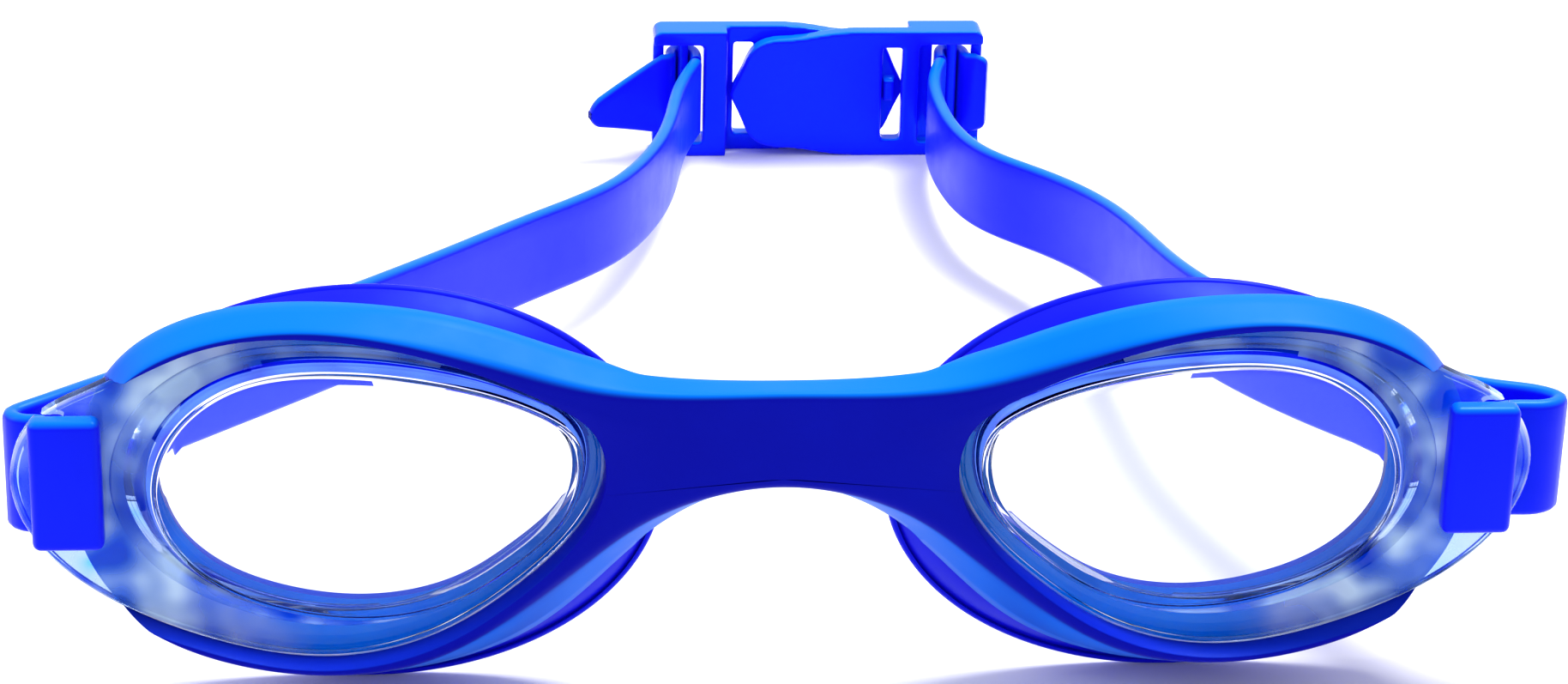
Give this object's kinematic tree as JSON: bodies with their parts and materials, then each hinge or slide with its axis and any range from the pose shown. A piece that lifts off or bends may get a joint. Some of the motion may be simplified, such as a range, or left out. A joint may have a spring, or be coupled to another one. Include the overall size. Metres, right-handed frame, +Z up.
{
  "type": "swim goggles",
  "caption": "Swim goggles with a one-piece soft blue frame, clear lenses, flared face seals and a rear strap loop with a two-part clasp.",
  "frame": {"origin": "on the surface the goggles stand on, under the middle of their width and length", "axes": "+Z up, -Y out of the front of the lenses, +X to the right as seen from the front"},
  "size_m": [0.1654, 0.165, 0.0466],
  "materials": {
    "clear_lens": "polished clear polycarbonate",
    "frame_rubber": "smooth satin blue thermoplastic rubber",
    "seal_rubber": "soft glossy blue rubber",
    "strap_rubber": "smooth blue silicone",
    "clasp_plastic": "glossy blue moulded plastic"
  },
  "bodies": {
    "eyepiece": {"eye_frame": "frame_rubber", "left_lens": "clear_lens", "left_face_seal": "seal_rubber", "left_strap_anchor": "strap_rubber", "left_strap_fold": "strap_rubber", "right_lens": "clear_lens", "right_face_seal": "seal_rubber", "right_strap_anchor": "strap_rubber", "right_strap_fold": "strap_rubber"},
    "strap_loop": {"left_strap_root": "strap_rubber", "right_strap_root": "strap_rubber", "left_strap_side": "strap_rubber", "right_strap_side": "strap_rubber", "left_strap_rear": "strap_rubber", "right_clasp_half": "clasp_plastic", "right_strap_wrap": "strap_rubber"},
    "left_clasp": {"left_clasp_half": "clasp_plastic", "left_strap_wrap": "strap_rubber"},
    "left_tail": {"left_strap_tail": "strap_rubber"},
    "right_tail": {"right_strap_tail": "strap_rubber"}
  },
  "joints": [
    {"name": "strap_tilt", "type": "hinge", "parent": "eyepiece", "child": "strap_loop", "pos_m": [0, -0.07363, 0.0282], "axis": [1, 0, 0], "range_deg": [0, 40], "deforming": ["left_strap_root", "right_strap_root"]},
    {"name": "clasp_release", "type": "slide", "parent": "strap_loop", "child": "left_clasp", "axis": [0, 1, 0], "range_m": [0, 0.012], "deforming": ["left_strap_rear"]},
    {"name": "left_tail_pull", "type": "slide", "parent": "left_clasp", "child": "left_tail", "axis": [-1, 0, 0], "range_m": [0, 0.012], "deforming": ["left_strap_wrap"]},
    {"name": "right_tail_pull", "type": "slide", "parent": "strap_loop", "child": "right_tail", "axis": [1, 0, 0], "range_m": [0, 0.012], "deforming": ["right_strap_wrap"]}
  ]
}
